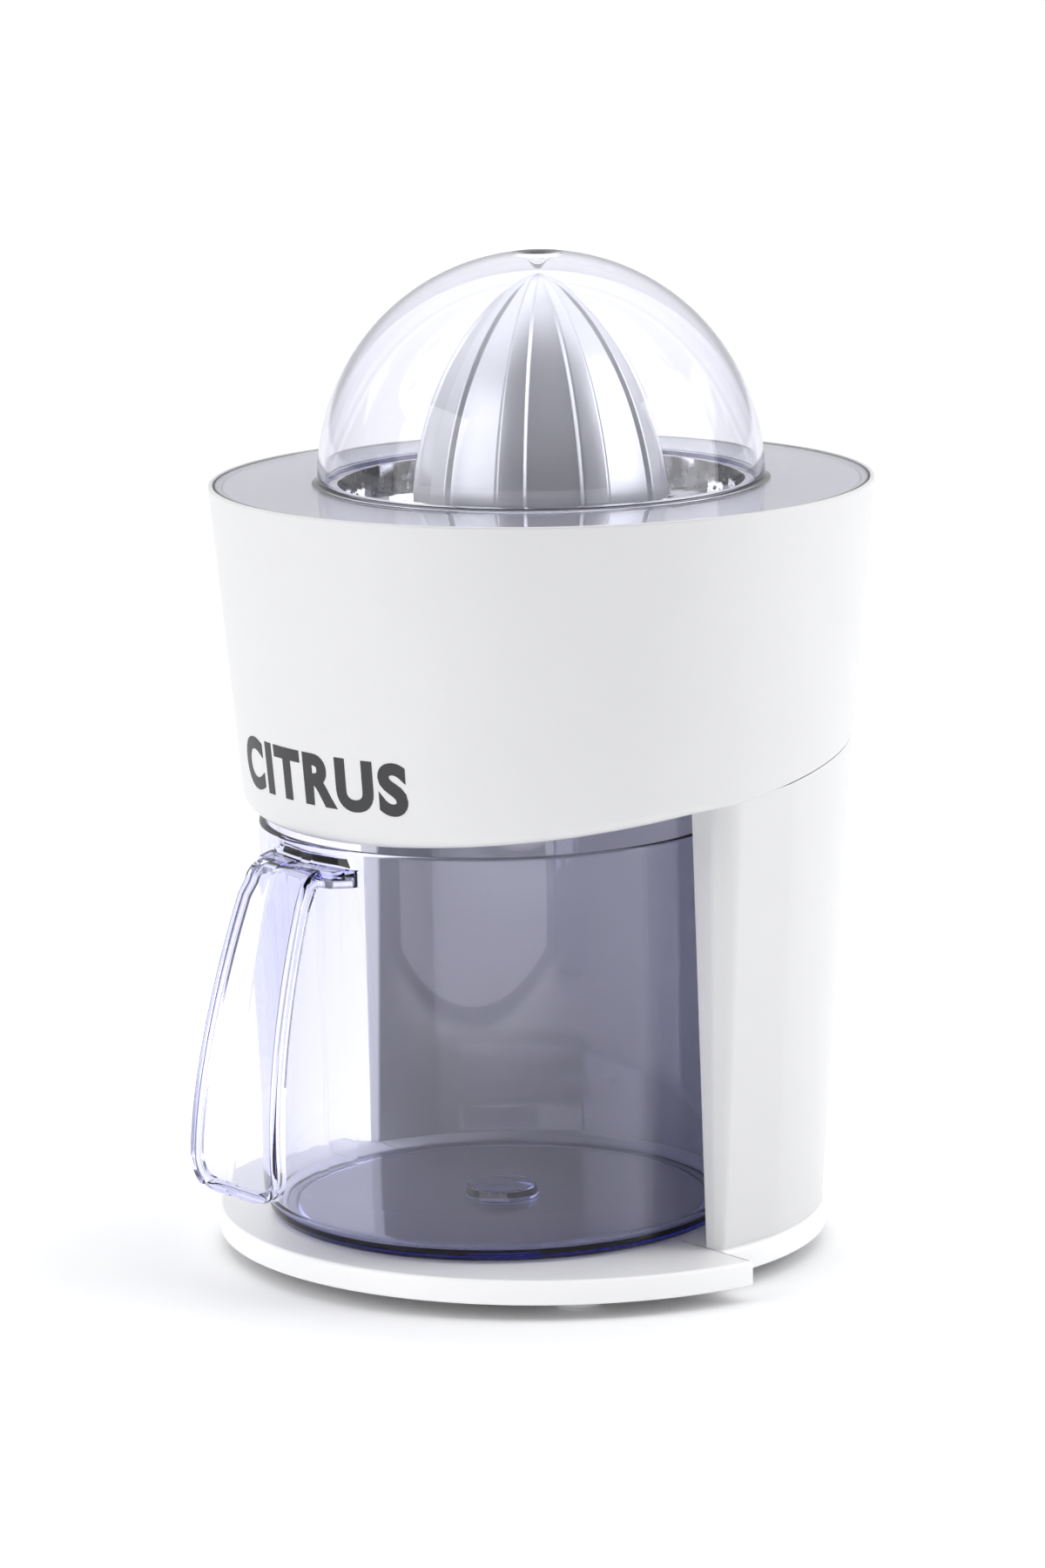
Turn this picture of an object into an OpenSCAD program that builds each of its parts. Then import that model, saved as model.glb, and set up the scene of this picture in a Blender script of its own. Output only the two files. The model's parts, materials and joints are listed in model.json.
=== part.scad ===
// Citrus press juicer: a round white body on a base plate, with a clear jug that slides out
// at the front (-Y), a hollow column behind it, and under the clear lid a ribbed reamer,
// a steel strainer and a juice bowl. The drive lies in the housing, under the bowl.
// The origin is on the reamer's axis, level with the surface that the feet stand on.

/* [Body] */
// Height of the housing's top rim
rim_z = 201; // [200.8:0.1:202]
// Outer radius of the housing at its top rim
rim_r = 86.2; // [86:0.1:88]
// Height of the seam under the housing, measured on the reamer's axis
seam_z = 126.9; // [126.5:0.1:127.5]
// Outer radius of the housing at that height
waist_r = 79.5; // [79:0.1:80]
// Angle of the seam, which rises towards the back
seam_tilt = 7.4; // [7:0.1:7.6]
// Wall thickness of the white mouldings
wall = 2.6; // [2.2:0.1:2.8]

/* [Base] */
// Height of the rubber feet below the base
foot_h = 4; // [3.5:0.5:4]
// Diameter of each rubber foot
foot_d = 13; // [10:1:15]
// Height of the top face of the base plate
base_top_z = 10.5; // [10.5:0.1:10.6]
// Radius of the front half of the base plate
base_front_r = 88.2; // [86:0.2:90]
// Radius of the rear half of the base plate, under the column
base_rear_r = 76.2; // [76:0.1:77]
// How far the rear half's centre lies in front of the reamer's axis
base_rear_shift = 5.2; // [5:0.1:5.4]

/* [Column] */
// Outer radius of the column at its foot
column_foot_r = 75.1; // [74.5:0.1:75.4]
// Radius of the bay for the jug at the foot of the column
bay_foot_r = 70.4; // [70:0.1:70.6]
// Radius of the bay for the jug at the top of the column
bay_top_r = 66.5; // [66:0.1:67]

/* [Jug] */
// How far the jug's centre lies in front of the reamer's axis
jug_shift = 17; // [16.5:0.5:17]
// Outer radius of the jug
jug_r = 61.4; // [60:0.2:61.6]
// Wall thickness of the jug
jug_wall = 2.2; // [2:0.1:2.6]
// Height of the jug's rim
jug_rim_z = 115.4; // [113:0.2:115.4]
// Half the width of the handle's blade at its top
handle_top_w = 12.4; // [11:0.2:13]
// Half the width of the handle's blade at its foot
handle_foot_w = 19; // [17:0.2:20]
// Height of the lower end of the handle
handle_foot_z = 27.3; // [26:0.1:32]

/* [Lid] */
// Outer radius of the lid's flange
flange_r = 84.7; // [84.4:0.1:84.8]
// Outer radius of the dome
dome_r = 57.9; // [57.8:0.1:58.2]
// Height of the dome's centre
dome_z = 201.9; // [201.8:0.1:202.2]
// Wall thickness of the dome
lid_wall = 1.8; // [1.5:0.1:1.8]

/* [Squeezing parts] */
// Radius of the reamer at its base
reamer_r = 33.4; // [32:0.2:35]
// Height of the reamer's base
reamer_z = 192.2; // [192:0.1:192.4]
// Height of the reamer from its base to its tip
reamer_h = 61.6; // [58:0.2:61.8]
// Number of ribs on the reamer
rib_count = 9; // [6:1:12]
// Angle that each rib spans round the reamer
rib_angle = 12; // [8:1:14]
// Outer radius of the strainer's wall
strainer_r = 53.5; // [53.3:0.1:53.5]
// Height of the strainer's floor
strainer_floor_z = 188.8; // [188.6:0.1:189]

/* [Drive] */
// Gear module
gear_module = 0.9; // [0.9]
// Teeth on the motor's pinion
motor_teeth = 9; // [9]
// Teeth on the large wheel of the compound gear
wheel_teeth = 42; // [42]
// Teeth on the small wheel of the compound gear
small_teeth = 10; // [10]
// Teeth on the output gear
output_teeth = 48; // [48]
// How far the reamer sinks when fruit is pressed on it
press_travel = 2.5; // [2:0.1:2.5]

/* [Hidden] */

$fn = 96;
far = 300;            // larger than the whole object
gap = 0.1;            // between faces that rest on one another
fit = 0.05;           // radial clearance of a running fit

waist_slope = 0.072;  // radius gained per millimetre of height below the seam
housing_cut_z = 100;  // lower end of the housing's cone before the seam cuts it
seat_h = 2.6;         // thickness of the ledge that carries the bowl
lid_seat_z = rim_z - 2.4;
bowl_seat_z = lid_seat_z - 1.8;
lid_seat_r = flange_r + 0.25;
bowl_seat_r = 82.6;
ledge_r = 79.8;
floor_lift = 1.5;     // the housing's floor lies this far above its lower edge
floor_t = 2.5;

base_z = foot_h;
base_split_y = -5.4;
column_front_y = -6;
column_h = waist_height(0) - base_top_z;
column_lean = atan(base_rear_shift / column_h);
bay_slope = (bay_top_r - bay_foot_r) / column_h;
column_slope = (waist_r - column_foot_r) / column_h;

spout_y = -44;
spout_r = 8.2;
spout_end_z = 118.4;
spout_wall = 1.6;
sump_r = 13;
well_r = 17.3;
bowl_t = 2;
bowl_floor_z = 183.2;
bowl_floor_slope = atan(0.02);
bowl_wall_r = strainer_r + 2.2;
bowl_wall_top_z = 199.5;
bowl_deck_z = bowl_seat_z + gap;
chimney_r = 10.4;

spindle_r = 4;
hex_r = 3.92;         // corner radius of the spindle's hexagonal end
spindle_z = 151;
hex_z = 190;
spindle_top_z = 213;
plate_z = 160.5;
plate_t = 2;
output_gear_z = 167.5;
output_gear_h = 4;
wheel_z = 172.5;
wheel_h = 4.5;
small_z = output_gear_z - press_travel - 1.5;
cover_z = 178.2;
cover_t = 1.5;

gear_y = gear_module * (output_teeth + small_teeth) / 2;
motor_y = gear_y + gear_module * (wheel_teeth + motor_teeth) / 2;
shaft_r = 2;
axle_r = 1.5;
rotor_r = 12;
air_gap = 0.35;
stator_h = 16;
stator_z = plate_z - stator_h;
bracket_t = 2;
stator_x = [-20, 33];
stator_y = [motor_y - 20, motor_y + 19];
leg_x = [23, 33];
window_x = [14.5, 23];
window_y = [motor_y - 13, motor_y + 13];
coil_x = [18, 37];
coil_y = [motor_y - 11, motor_y + 11];

foot_places = [[60.5, -40.5], [-60.5, -40.5], [42, 44], [-42, 44]];
base_screw_places = [[48, -58], [-48, -58], [56, 22], [-56, 22]];
cover_post_places = [[60, 16], [-60, 16], [50, -36], [-50, -36]];
plate_post_places = [[13, -13], [-13, -13], [-26, 50]];
motor_screw_places = [[-15, motor_y - 16], [-15, motor_y + 15]];
post_r = 4;
thread_r = 1.2;
pilot_r = 1.25;

pad_z = 147;
pad_r = 7;
stem_r = 2.4;
spring_seat_z = 134;
spring_r = 5;
spring_wire_r = 0.6;
spring_turns = 5;
switch_x = [14, 34];
switch_y = 5;
switch_z = [133.5, 143];
pivot_x = 32;
lever_z = 146.3;
lever_t = 0.5;

grommet_z = 24;
grommet_r = 5.5;
grommet_bore_r = 3.4;
grommet_lip_r = 7.5;

clear_r = 1.5;        // a hole that a screw passes through
head_r = 2.6;
head_h = 1.6;
bolt_r = 1.45;        // the long motor screws
bolt_hole_r = 1.7;

core_inset = 1.6;     // the reamer's core lies this far inside its ribs
reamer_wall = 3;      // thickness of the reamer's core
rib_turn = -13.1;     // how the reamer sits on the spindle
socket_r = 6.8;
hex_fit = 0.09;       // clearance of the reamer's socket on the spindle, at its corners
strainer_t = 0.6;
strainer_lip = 1.9;
hole_r = 1;
drain_r = 11;
hole_rings = 4;
holes_per_ring = 24;
hole_rows = 2;
holes_per_row = 36;

lid_bottom_z = lid_seat_z + gap;
lid_top_z = rim_z - 0.2;
lid_joint_r = dome_r + 3.2;  // where the flange runs into the foot of the dome
dimple_angle = 84.4;
dimple_depth = 3.1;

jug_z = base_top_z + gap;
jug_floor_t = 2.6;
boss_r = 9.3;
boss_h = 3;
blade_t = 2.6;
rib_depth = 4.4;
blade_round = 9;
bridge_w = 19.5;
bridge_z = 110.8;
bend_y = -83.2;       // centre and radius of the handle's upper bend
bend_z = 104.6;
bend_r = 6.2;
bridge_end_y = -jug_shift - jug_r + 8;

function waist_height(y) = seam_z + y * tan(seam_tilt);

function housing_r(z) =
    z < seam_z ? waist_r - waist_slope * (seam_z - z)
               : waist_r + (rim_r - waist_r) * (z - seam_z) / (rim_z - seam_z);

function arc(cx, cy, r, a0, a1, n) =
    [for (i = [0:n]) let (a = a0 + (a1 - a0) * i / n) [cx + r * cos(a), cy + r * sin(a)]];

// Everything above the tilted seam plane, raised by lift.
module above_seam(lift = 0) {
    translate([0, 0, seam_z + lift])
        rotate([seam_tilt, 0, 0])
            translate([-far, -far, 0])
                cube([2 * far, 2 * far, far]);
}

module tube(outer_r, inner_r, h) {
    difference() {
        cylinder(r = outer_r, h = h);
        translate([0, 0, -1]) cylinder(r = inner_r, h = h + 2);
    }
}

// A screw with a round head, standing on its tip.
module screw(length, shank_r, head_r, head_h) {
    cylinder(r = shank_r, h = length);
    translate([0, 0, length]) difference() {
        cylinder(r = head_r, h = head_h);
        translate([0, 0, head_h - 0.8]) cylinder(r = shank_r, h = 1, $fn = 6);
    }
}

// ---------- base ----------

module base_form(inset, z, h) {
    translate([0, 0, z]) {
        intersection() {
            cylinder(r = base_front_r - inset, h = h);
            translate([-far, base_split_y - inset - far, 0]) cube([2 * far, far, h]);
        }
        translate([0, -base_rear_shift, 0]) cylinder(r = base_rear_r - inset, h = h);
    }
}

module base_plate() color("white") {
    difference() {
        base_form(0, base_z, base_top_z - base_z);
        base_form(wall, base_z - 1, base_top_z - base_z + 1 - wall);
    }
    for (p = base_screw_places)
        translate([p[0], p[1], base_z + 2]) tube(3.2, pilot_r, base_top_z - base_z - 2 - wall / 2);
}

module bottom_cover() color("white") difference() {
    base_form(wall + gap, base_z + 0.2, 1.8 - gap);
    for (p = base_screw_places)
        translate([p[0], p[1], base_z - 1]) cylinder(r = clear_r, h = 4);
}

module feet() color("dimgray") for (p = foot_places)
    translate([p[0], p[1], 0]) {
        cylinder(r1 = foot_d / 2 - 0.6, r2 = foot_d / 2, h = 1);
        translate([0, 0, 1]) cylinder(r = foot_d / 2, h = foot_h - 1 + 0.2);
    }

module base_screws() color("silver") for (p = base_screw_places)
    translate([p[0], p[1], base_z + 3.6]) rotate([180, 0, 0]) screw(3.4, thread_r, head_r, 0.9);

// ---------- column ----------

module column_cone(inset) {
    below = 12;
    translate([0, -base_rear_shift, base_top_z])
        rotate([-column_lean, 0, 0])
            translate([0, 0, -below])
                cylinder(r1 = column_foot_r - inset - below * column_slope,
                         r2 = column_foot_r - inset + 150 * column_slope, h = below + 150);
}

module bay_cone(grow) {
    translate([0, -jug_shift, base_top_z - 1])
        cylinder(r1 = bay_foot_r + grow - bay_slope, r2 = bay_foot_r + grow + 150 * bay_slope, h = 151);
}

module behind(y, z) {
    translate([-far, y, z]) cube([2 * far, far, far]);
}

module rear_column() color("white") difference() {
    intersection() {
        column_cone(0);
        behind(column_front_y, base_top_z);
    }
    bay_cone(0);
    difference() {
        intersection() {
            column_cone(wall);
            behind(column_front_y + wall, base_top_z - 1);
        }
        bay_cone(wall);
    }
    above_seam(0);
    at_cord_inlet() translate([0, 0, -10]) cylinder(r = grommet_r, h = 20);
}

// The place where the cord enters, square to the column's leaning rear wall.
module at_cord_inlet() {
    lean = column_slope + tan(column_lean);
    back_y = column_foot_r - base_rear_shift + (grommet_z - base_top_z) * lean;
    translate([0, back_y, grommet_z]) rotate([-90 - atan(lean), 0, 0]) children();
}

module cord_grommet() color("gainsboro") at_cord_inlet() translate([0, 0, -wall - 2.6]) {
    tube(grommet_lip_r - 0.5, grommet_bore_r, 2);
    tube(grommet_r - gap, grommet_bore_r, wall + 4.5);
    translate([0, 0, wall + 3]) tube(grommet_lip_r, grommet_bore_r, 2);
}

// ---------- housing ----------

module upper_housing() color("white") intersection() {
    rotate_extrude(convexity = 4) polygon([
        [housing_r(housing_cut_z), housing_cut_z],
        [waist_r, seam_z],
        [rim_r, rim_z],
        [lid_seat_r, rim_z],
        [lid_seat_r, lid_seat_z],
        [bowl_seat_r, lid_seat_z],
        [bowl_seat_r, bowl_seat_z],
        [ledge_r, bowl_seat_z],
        [ledge_r, bowl_seat_z - seat_h],
        [housing_r(bowl_seat_z - 6) - wall, bowl_seat_z - 6],
        [waist_r - wall, seam_z],
        [housing_r(housing_cut_z) - wall, housing_cut_z]]);
    above_seam(0);
}

module housing_floor() color("white") difference() {
    union() {
        intersection() {
            rotate_extrude() polygon([
                [0, housing_cut_z],
                [housing_r(housing_cut_z) - wall - gap, housing_cut_z],
                [waist_r - wall - gap, seam_z],
                [housing_r(seam_z + 25) - wall - gap, seam_z + 25],
                [0, seam_z + 25]]);
            difference() {
                above_seam(floor_lift);
                above_seam(floor_lift + floor_t);
            }
        }
        difference() {
            union() {
                for (p = cover_post_places)
                    translate([p[0], p[1], 0]) cylinder(r = post_r, h = cover_z);
                for (p = plate_post_places)
                    translate([p[0], p[1], 0]) cylinder(r = post_r, h = plate_z);
                cylinder(r = 6.5, h = spring_seat_z);
                translate([0, spout_y, 0]) cylinder(r = 11.5, h = 134);
                translate([switch_x[0] + 3, -3, 0]) cube([14, 6, switch_z[0]]);
            }
            difference() {
                translate([-far, -far, -1]) cube([2 * far, 2 * far, far]);
                above_seam(floor_lift + 1);
            }
        }
    }
    translate([0, spout_y, 0]) cylinder(r = spout_r + 1.3, h = far);
    translate([0, 0, spring_seat_z - 5]) cylinder(r = stem_r + fit, h = 6);
    translate([-9, 58, 0]) cube([18, 8, far]);
    for (p = cover_post_places)
        translate([p[0], p[1], cover_z - 10]) cylinder(r = pilot_r, h = 11);
    for (p = plate_post_places)
        translate([p[0], p[1], plate_z - 8]) cylinder(r = pilot_r, h = 9);
}

module inner_cover() color("white") difference() {
    union() {
        translate([0, 0, cover_z]) cylinder(r = 80.9, h = cover_t);
        translate([0, spout_y, 130]) cylinder(r = well_r, h = cover_z - 130 + cover_t);
        translate([0, 0, cover_z]) cylinder(r = 8, h = 4.8);
    }
    translate([0, spout_y, 129]) cylinder(r = well_r - 1.8, h = 60);
    translate([0, 0, cover_z - 3]) cylinder(r = 6, h = 20);
    for (p = cover_post_places)
        translate([p[0], p[1], cover_z - 1]) cylinder(r = clear_r, h = 4);
}

module cover_screws() color("silver") for (p = cover_post_places)
    translate([p[0], p[1], cover_z + cover_t - 10]) cylinder(r = thread_r, h = 10);

// ---------- drive ----------

function polar(r, a) = [r * cos(a), r * sin(a)];

// Half the angle that a tooth spans at radius r.
function half_angle(r, involute_r, half_tooth, pressure) =
    half_tooth + roll(pressure) - roll(acos(min(1, involute_r / r)));

// The involute function, in degrees.
function roll(a) = tan(a) * 180 / PI - a;

// A spur gear with involute flanks, low teeth and a little backlash.
module gear(teeth, h, backlash = 0.16) {
    pitch_r = gear_module * teeth / 2;
    pressure = 25;
    root_r = pitch_r - 1.05 * gear_module;
    tip_r = pitch_r + 0.78 * gear_module;
    involute_r = pitch_r * cos(pressure);
    half_tooth = 90 / teeth - backlash / 2 / pitch_r * 180 / PI;
    start_r = max(involute_r, root_r + 0.05);
    radii = [root_r, start_r, (start_r + tip_r) / 2, tip_r];
    linear_extrude(height = h) polygon([
        for (i = [0:teeth - 1])
            for (k = [-3:4])
                let (r = radii[k > 0 ? 4 - k : k + 3])
                polar(r, 360 * i / teeth + (k > 0 ? 1 : -1)
                    * half_angle(r, involute_r, half_tooth, pressure))]);
}

module gear_plate() color("lightsteelblue") difference() {
    translate([0, 0, plate_z]) union() {
        cylinder(r = 22, h = plate_t);
        translate([-20, 0, 0]) cube([36.5, stator_y[1], plate_t]);
        translate([-31, 44, 0]) cube([20, 12, plate_t]);
    }
    translate([0, 0, plate_z - 1]) {
        cylinder(r = 6, h = plate_t + 2);
        translate([0, gear_y, 0]) cylinder(r = axle_r, h = plate_t + 2);
        translate([0, motor_y, 0]) cylinder(r = shaft_r + fit, h = plate_t + 2);
        for (p = concat(plate_post_places, motor_screw_places))
            translate([p[0], p[1], 0]) cylinder(r = clear_r, h = plate_t + 2);
    }
}

module plate_screws() color("silver") for (p = plate_post_places)
    translate([p[0], p[1], plate_z + plate_t - 8]) screw(8, thread_r, head_r, head_h);

module motor_stator() color("slategray") difference() {
    box_between(stator_x, stator_y, [stator_z, stator_z + stator_h]);
    translate([0, motor_y, stator_z - 1]) cylinder(r = rotor_r + air_gap, h = stator_h + 2);
    box_between(window_x, window_y, [stator_z - 1, stator_z + stator_h + 1]);
    for (p = motor_screw_places)
        translate([p[0], p[1], stator_z - 1]) cylinder(r = bolt_hole_r, h = stator_h + 2);
}

module motor_coil() color("chocolate") difference() {
    box_between(coil_x, coil_y, [stator_z - 3, stator_z + stator_h + 3]);
    box_between(leg_x + [-gap, gap], coil_y + [-1, 1], [stator_z - gap, stator_z + stator_h + gap]);
}

module box_between(x, y, z) {
    translate([x[0], y[0], z[0]]) cube([x[1] - x[0], y[1] - y[0], z[1] - z[0]]);
}

module motor_bracket() color("silver") difference() {
    union() {
        box_between([-20, 8], [stator_y[0], stator_y[1]], [stator_z - bracket_t, stator_z]);
        translate([0, motor_y, stator_z - bracket_t - 3]) cylinder(r = 5, h = 3);
    }
    translate([0, motor_y, stator_z - 6]) cylinder(r = shaft_r + fit, h = 7);
    for (p = motor_screw_places)
        translate([p[0], p[1], stator_z - 3]) cylinder(r = bolt_hole_r, h = 4);
}

module motor_screws() color("silver") for (p = motor_screw_places) {
    translate([p[0], p[1], stator_z - bracket_t - 2])
        screw(stator_h + bracket_t + plate_t + 2, bolt_r, head_r, head_h);
    translate([p[0], p[1], stator_z - bracket_t - 2]) difference() {
        cylinder(r = 2.9, h = 2, $fn = 6);
        translate([0, 0, -1]) cylinder(r = bolt_r, h = 4);
    }
}

module motor_rotor() color("slategray") translate([0, motor_y, 0]) {
    translate([0, 0, stator_z + 0.4]) cylinder(r = rotor_r, h = stator_h - 0.8);
    translate([0, 0, stator_z - 6]) cylinder(r = shaft_r, h = cover_z - 0.4 - stator_z + 6);
}

module motor_pinion() color("gold") difference() {
    translate([0, motor_y, wheel_z - 0.5])
        rotate([0, 0, -90 + 180 / motor_teeth]) gear(motor_teeth, wheel_h + 1);
    translate([0, motor_y, wheel_z - 1]) cylinder(r = shaft_r, h = wheel_h + 2);
}

module compound_gear() color("ivory") translate([0, gear_y, 0]) difference() {
    union() {
        translate([0, 0, small_z]) rotate([0, 0, -90 + 180 / small_teeth])
            gear(small_teeth, wheel_z - small_z);
        translate([0, 0, wheel_z]) rotate([0, 0, 90]) gear(wheel_teeth, wheel_h);
    }
    translate([0, 0, small_z - 1]) cylinder(r = axle_r + fit, h = wheel_z + wheel_h - small_z + 2);
}

module gear_axle() color("silver") translate([0, gear_y, plate_z])
    cylinder(r = axle_r, h = wheel_z + wheel_h + 0.4 - plate_z);

module output_gear() color("ivory") difference() {
    translate([0, 0, output_gear_z]) rotate([0, 0, 90]) gear(output_teeth, output_gear_h);
    translate([0, 0, output_gear_z - 1]) cylinder(r = spindle_r, h = output_gear_h + 2);
}

module drive_spindle() color("silver") {
    translate([0, 0, spindle_z + gap]) cylinder(r = spindle_r, h = hex_z - spindle_z - gap);
    translate([0, 0, hex_z]) cylinder(r = hex_r, h = spindle_top_z - hex_z, $fn = 6);
}

module lower_bush() color("peru") translate([0, 0, plate_z - 3]) union() {
    tube(6, spindle_r + fit, plate_t + 3);
    tube(7.5, spindle_r + fit, 3);
}

module upper_bush() color("peru")
    translate([0, 0, cover_z]) tube(6, spindle_r + fit, 3.5);

module spindle_seal() color("dimgray") translate([0, 0, cover_z + 3.5])
    tube(6, spindle_r + fit, 1.3);

module thrust_pad() color("ivory") {
    translate([0, 0, pad_z]) cylinder(r = pad_r, h = spindle_z - pad_z);
    translate([0, 0, spring_seat_z - 1.5]) cylinder(r = stem_r, h = pad_z - spring_seat_z + 1.5);
    box_between([pad_r - 1, 12], [-2.5, 2.5], [pad_z + 0.2, pad_z + 2.2]);
}

// A coil spring: rings of points swept along a helix and joined into one closed surface.
module return_spring() color("silver") {
    low = spring_seat_z + spring_wire_r + gap;
    high = pad_z - spring_wire_r - gap;
    sides = 8;
    rings = spring_turns * 18;
    points = [for (i = [0:rings]) for (k = [0:sides - 1])
        let (turn = 360 * spring_turns * i / rings,
             r = spring_r + spring_wire_r * cos(360 * k / sides),
             z = low + (high - low) * i / rings + spring_wire_r * sin(360 * k / sides))
        [r * cos(turn), r * sin(turn), z]];
    walls = [for (i = [0:rings - 1]) for (k = [0:sides - 1])
        let (a = i * sides + k, b = i * sides + (k + 1) % sides)
        [a, a + sides, b + sides, b]];
    start = [for (k = [0:sides - 1]) k];
    finish = [for (k = [sides - 1:-1:0]) rings * sides + k];
    polyhedron(points, concat(walls, [start, finish]));
}

module micro_switch() color("dimgray") {
    box_between(switch_x, [-switch_y, switch_y], switch_z);
    for (y = [-switch_y, switch_y - 1.2])
        box_between([pivot_x - 2, pivot_x + 2], [y, y + 1.2], [switch_z[1], lever_z + 2]);
}

module switch_lever() color("silver") {
    box_between([8.5, pivot_x - 0.8], [-3, 3], [lever_z, lever_z + lever_t]);
    translate([pivot_x, 3.4, lever_z + lever_t / 2]) rotate([90, 0, 0]) cylinder(r = 0.9, h = 6.8);
}

// ---------- bowl, strainer, reamer, lid ----------

module juice_bowl() color("whitesmoke") difference() {
    union() {
        // Deck that rests on the housing's ledge
        translate([0, 0, bowl_deck_z]) cylinder(r = bowl_seat_r - 0.3, h = 1.6);
        // Pan with a floor that falls towards the spout
        intersection() {
            translate([0, 0, 170]) cylinder(r = bowl_wall_r, h = bowl_wall_top_z - 170);
            bowl_above(-bowl_t);
        }
        translate([0, spout_y, 161]) cylinder(r = sump_r, h = 22);
        translate([0, spout_y, 151]) cylinder(r1 = spout_r, r2 = sump_r, h = 10);
        translate([0, spout_y, spout_end_z]) cylinder(r = spout_r, h = 34);
    }
    difference() {
        intersection() {
            translate([0, 0, 170]) cylinder(r = bowl_wall_r - 1.8, h = 60);
            bowl_above(0);
        }
        cylinder(r = chimney_r, h = 187.6);
    }
    translate([0, spout_y, 161]) cylinder(r = sump_r - spout_wall, h = 30);
    translate([0, spout_y, 151 - 0.01])
        cylinder(r1 = spout_r - spout_wall, r2 = sump_r - spout_wall, h = 10.02);
    translate([0, spout_y, spout_end_z - 1]) cylinder(r = spout_r - spout_wall, h = 40);
    translate([0, 0, 170]) cylinder(r = 8.3, h = 16);
    translate([0, 0, 170]) cylinder(r = spindle_r + 0.4, h = 30);
}

module bowl_above(lift) {
    translate([0, 0, bowl_floor_z + lift])
        rotate([bowl_floor_slope, 0, 0])
            translate([-far, -far, 0])
                cube([2 * far, 2 * far, far]);
}

module strainer() color("silver") difference() {
    union() {
        translate([0, 0, strainer_floor_z])
            cylinder(r = strainer_r, h = bowl_wall_top_z + 0.9 - strainer_floor_z);
        translate([0, 0, bowl_wall_top_z + gap]) cylinder(r = strainer_r + strainer_lip, h = 0.8);
    }
    translate([0, 0, strainer_floor_z + strainer_t]) cylinder(r = strainer_r - strainer_t, h = 30);
    translate([0, 0, strainer_floor_z - 1]) cylinder(r = drain_r, h = 4);
    for (ring = [0:hole_rings - 1])
        for (i = [0:holes_per_ring - 1])
            rotate([0, 0, 360 / holes_per_ring * (i + ring / 2)])
                translate([36 + 4.6 * ring, 0, strainer_floor_z - 1]) cylinder(r = hole_r, h = 3, $fn = 24);
    for (row = [0:hole_rows - 1])
        for (i = [0:holes_per_row - 1])
            rotate([0, 0, 360 / holes_per_row * (i + row / 2)])
                translate([strainer_r - 2, 0, strainer_floor_z + 3.4 + 4 * row])
                    rotate([0, 90, 0]) cylinder(r = hole_r, h = 4, $fn = 24);
}

// Radius of the reamer at a fraction t of its height.
function reamer_radius(t) = reamer_r * pow(1 - pow(t, 1.9), 0.66);

module reamer_form(inset) {
    steps = 18;
    h = reamer_h - inset * 1.2;
    scale_r = (reamer_r - inset) / reamer_r;
    rotate_extrude() polygon(concat([[0, 0]],
        [for (i = [0:steps]) let (t = sin(90 * i / steps)) [scale_r * reamer_radius(t), h * t]]));
}

module rib_wedge() {
    reach = reamer_r + 5;
    linear_extrude(height = reamer_h) polygon([
        [-1, 0], polar(reach, -rib_angle / 2), polar(reach, rib_angle / 2)]);
}

module reamer() color("gainsboro") translate([0, 0, reamer_z]) difference() {
    union() {
        difference() {
            union() {
                reamer_form(core_inset);
                intersection() {
                    reamer_form(0);
                    for (i = [0:rib_count - 1])
                        rotate([0, 0, rib_turn + 360 * i / rib_count]) rib_wedge();
                }
            }
            translate([0, 0, -0.01]) reamer_form(core_inset + reamer_wall);
        }
        cylinder(r = socket_r, h = reamer_h - 8);
        translate([0, 0, reamer_h - 8]) cylinder(r1 = socket_r, r2 = 3, h = 4);
    }
    translate([0, 0, -1]) cylinder(r = hex_r + hex_fit, h = spindle_top_z - reamer_z + 1.6, $fn = 6);
}

// The lid is one clear moulding: a dome with a small dimple on top, and the flange round its foot.
module lid_dome() color([0.62, 0.62, 0.78, 0.4]) {
    top = dome_z + dome_r;
    dimple_r = dome_r * cos(dimple_angle);
    inner = arc(0, dome_z, dome_r - lid_wall, dimple_angle, 0, 26);
    rotate_extrude(convexity = 4) polygon(concat(
        [[lid_joint_r, lid_bottom_z], [lid_joint_r, lid_top_z], [dome_r + 1, lid_top_z + 0.6]],
        arc(0, dome_z, dome_r, 0, dimple_angle, 26),
        [[dimple_r - 1.2, top - 0.8], [1, top + 0.2 - dimple_depth], [0, top - dimple_depth],
         [0, top - dimple_depth - lid_wall], [1.6, top - dimple_depth - lid_wall + 0.4]],
        [for (p = inner) if (p[0] > dimple_r - 0.8) p],
        [[dome_r - lid_wall, lid_bottom_z]]));
}

module lid_flange() color([0.62, 0.62, 0.78, 0.4])
    translate([0, 0, lid_bottom_z]) tube(flange_r, lid_joint_r + fit, lid_top_z - lid_bottom_z);

// ---------- jug ----------

// Distance of the handle blade's outer face in front of the reamer's axis, at height z.
function blade_y(z) = -104.3 + 16.2 * pow(max(0, z - 38) / 72.5, 1.7);

function blade_width(z) =
    handle_foot_w + (handle_top_w - handle_foot_w) * (z - handle_foot_z) / (bridge_z - handle_foot_z);

module handle_profile(depth) {
    levels = [for (i = [0:12]) handle_foot_z + (104 - handle_foot_z) * i / 12];
    bend = arc(bend_y, bend_z, bend_r, 168, 90, 5);
    bend_in = arc(bend_y, bend_z, bend_r - min(depth, 5), 90, 168, 5);
    polygon(concat(
        [for (z = levels) [blade_y(z), z]],
        bend,
        [[bridge_end_y, bridge_z], [bridge_end_y, bridge_z - depth]],
        bend_in,
        [for (i = [12:-1:0]) [blade_y(levels[i]) + depth, levels[i]]]));
}

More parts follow.
